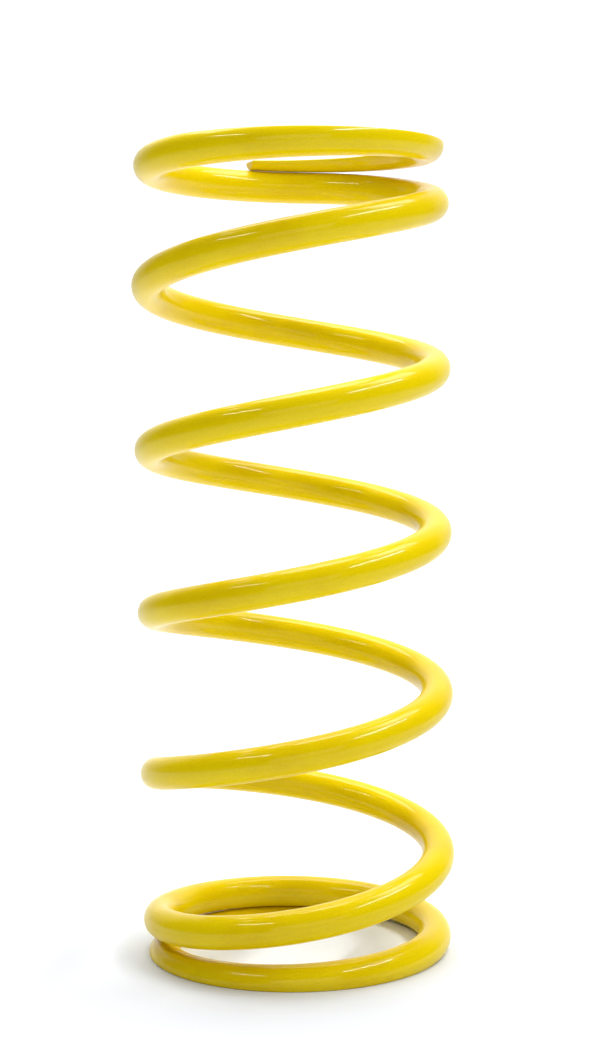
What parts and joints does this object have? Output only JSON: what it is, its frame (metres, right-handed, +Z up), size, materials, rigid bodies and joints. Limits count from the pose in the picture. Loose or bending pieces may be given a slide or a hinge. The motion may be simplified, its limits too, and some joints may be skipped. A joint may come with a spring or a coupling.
{
  "type": "coil spring",
  "caption": "Coil-over suspension compression spring: round wire wound right-hand, closed and ground flat at both ends, gloss yellow powder coat.",
  "frame": {"origin": "on the spring axis at the lower ground face, where the spring stands on its seat", "axes": "+Z up along the spring axis from the lower end to the upper end; +X to the right and +Y to the back as the spring is usually shown, with the upper tip at the back"},
  "size_m": [0.0834, 0.0834, 0.213],
  "materials": {
    "powder_coat": "gloss"
  },
  "bodies": {
    "lower_end": {"lower_end_coil": "powder_coat", "coil_1_quarter_1": "powder_coat"},
    "coil_1_quarter_2": {"coil_1_quarter_2": "powder_coat"},
    "coil_1_quarter_3": {"coil_1_quarter_3": "powder_coat"},
    "coil_1_quarter_4": {"coil_1_quarter_4": "powder_coat"},
    "coil_2_quarter_1": {"coil_2_quarter_1": "powder_coat"},
    "coil_2_quarter_2": {"coil_2_quarter_2": "powder_coat"},
    "coil_2_quarter_3": {"coil_2_quarter_3": "powder_coat"},
    "coil_2_quarter_4": {"coil_2_quarter_4": "powder_coat"},
    "coil_3_quarter_1": {"coil_3_quarter_1": "powder_coat"},
    "coil_3_quarter_2": {"coil_3_quarter_2": "powder_coat"},
    "coil_3_quarter_3": {"coil_3_quarter_3": "powder_coat"},
    "coil_3_quarter_4": {"coil_3_quarter_4": "powder_coat"},
    "coil_4_quarter_1": {"coil_4_quarter_1": "powder_coat"},
    "coil_4_quarter_2": {"coil_4_quarter_2": "powder_coat"},
    "coil_4_quarter_3": {"coil_4_quarter_3": "powder_coat"},
    "coil_4_quarter_4": {"coil_4_quarter_4": "powder_coat"},
    "coil_5_quarter_1": {"coil_5_quarter_1": "powder_coat"},
    "coil_5_quarter_2": {"coil_5_quarter_2": "powder_coat"},
    "coil_5_quarter_3": {"coil_5_quarter_3": "powder_coat"},
    "upper_end": {"coil_5_quarter_4": "powder_coat", "upper_end_coil": "powder_coat"}
  },
  "joints": [
    {"name": "upper_end_slide", "type": "slide", "parent": "lower_end", "child": "upper_end", "axis": [0, 0, 1], "range_m": [-0.13, 0], "stiffness_N_per_m": 25500},
    {"name": "coil_1_quarter_2_slide", "type": "slide", "parent": "lower_end", "child": "coil_1_quarter_2", "axis": [0, 0, 1], "range_m": [-0.0004, 0]},
    {"name": "coil_1_quarter_3_slide", "type": "slide", "parent": "lower_end", "child": "coil_1_quarter_3", "axis": [0, 0, 1], "range_m": [-0.00494, 0]},
    {"name": "coil_1_quarter_4_slide", "type": "slide", "parent": "lower_end", "child": "coil_1_quarter_4", "axis": [0, 0, 1], "range_m": [-0.01227, 0]},
    {"name": "coil_2_quarter_1_slide", "type": "slide", "parent": "lower_end", "child": "coil_2_quarter_1", "axis": [0, 0, 1], "range_m": [-0.01986, 0]},
    {"name": "coil_2_quarter_2_slide", "type": "slide", "parent": "lower_end", "child": "coil_2_quarter_2", "axis": [0, 0, 1], "range_m": [-0.02745, 0]},
    {"name": "coil_2_quarter_3_slide", "type": "slide", "parent": "lower_end", "child": "coil_2_quarter_3", "axis": [0, 0, 1], "range_m": [-0.03505, 0]},
    {"name": "coil_2_quarter_4_slide", "type": "slide", "parent": "lower_end", "child": "coil_2_quarter_4", "axis": [0, 0, 1], "range_m": [-0.04264, 0]},
    {"name": "coil_3_quarter_1_slide", "type": "slide", "parent": "lower_end", "child": "coil_3_quarter_1", "axis": [0, 0, 1], "range_m": [-0.05022, 0]},
    {"name": "coil_3_quarter_2_slide", "type": "slide", "parent": "lower_end", "child": "coil_3_quarter_2", "axis": [0, 0, 1], "range_m": [-0.05781, 0]},
    {"name": "coil_3_quarter_3_slide", "type": "slide", "parent": "lower_end", "child": "coil_3_quarter_3", "axis": [0, 0, 1], "range_m": [-0.0654, 0]},
    {"name": "coil_3_quarter_4_slide", "type": "slide", "parent": "lower_end", "child": "coil_3_quarter_4", "axis": [0, 0, 1], "range_m": [-0.07299, 0]},
    {"name": "coil_4_quarter_1_slide", "type": "slide", "parent": "lower_end", "child": "coil_4_quarter_1", "axis": [0, 0, 1], "range_m": [-0.08057, 0]},
    {"name": "coil_4_quarter_2_slide", "type": "slide", "parent": "lower_end", "child": "coil_4_quarter_2", "axis": [0, 0, 1], "range_m": [-0.08816, 0]},
    {"name": "coil_4_quarter_3_slide", "type": "slide", "parent": "lower_end", "child": "coil_4_quarter_3", "axis": [0, 0, 1], "range_m": [-0.09576, 0]},
    {"name": "coil_4_quarter_4_slide", "type": "slide", "parent": "lower_end", "child": "coil_4_quarter_4", "axis": [0, 0, 1], "range_m": [-0.10335, 0]},
    {"name": "coil_5_quarter_1_slide", "type": "slide", "parent": "lower_end", "child": "coil_5_quarter_1", "axis": [0, 0, 1], "range_m": [-0.11094, 0]},
    {"name": "coil_5_quarter_2_slide", "type": "slide", "parent": "lower_end", "child": "coil_5_quarter_2", "axis": [0, 0, 1], "range_m": [-0.11852, 0]},
    {"name": "coil_5_quarter_3_slide", "type": "slide", "parent": "lower_end", "child": "coil_5_quarter_3", "axis": [0, 0, 1], "range_m": [-0.12611, 0]}
  ],
  "couplings": [
    {"joint": "coil_1_quarter_2_slide", "follows": "upper_end_slide", "ratio": 0.003},
    {"joint": "coil_1_quarter_3_slide", "follows": "upper_end_slide", "ratio": 0.0379},
    {"joint": "coil_1_quarter_4_slide", "follows": "upper_end_slide", "ratio": 0.0943},
    {"joint": "coil_2_quarter_1_slide", "follows": "upper_end_slide", "ratio": 0.1527},
    {"joint": "coil_2_quarter_2_slide", "follows": "upper_end_slide", "ratio": 0.2111},
    {"joint": "coil_2_quarter_3_slide", "follows": "upper_end_slide", "ratio": 0.2695},
    {"joint": "coil_2_quarter_4_slide", "follows": "upper_end_slide", "ratio": 0.3279},
    {"joint": "coil_3_quarter_1_slide", "follows": "upper_end_slide", "ratio": 0.3862},
    {"joint": "coil_3_quarter_2_slide", "follows": "upper_end_slide", "ratio": 0.4446},
    {"joint": "coil_3_quarter_3_slide", "follows": "upper_end_slide", "ratio": 0.503},
    {"joint": "coil_3_quarter_4_slide", "follows": "upper_end_slide", "ratio": 0.5614},
    {"joint": "coil_4_quarter_1_slide", "follows": "upper_end_slide", "ratio": 0.6197},
    {"joint": "coil_4_quarter_2_slide", "follows": "upper_end_slide", "ratio": 0.6781},
    {"joint": "coil_4_quarter_3_slide", "follows": "upper_end_slide", "ratio": 0.7365},
    {"joint": "coil_4_quarter_4_slide", "follows": "upper_end_slide", "ratio": 0.7949},
    {"joint": "coil_5_quarter_1_slide", "follows": "upper_end_slide", "ratio": 0.8533},
    {"joint": "coil_5_quarter_2_slide", "follows": "upper_end_slide", "ratio": 0.9116},
    {"joint": "coil_5_quarter_3_slide", "follows": "upper_end_slide", "ratio": 0.97}
  ]
}
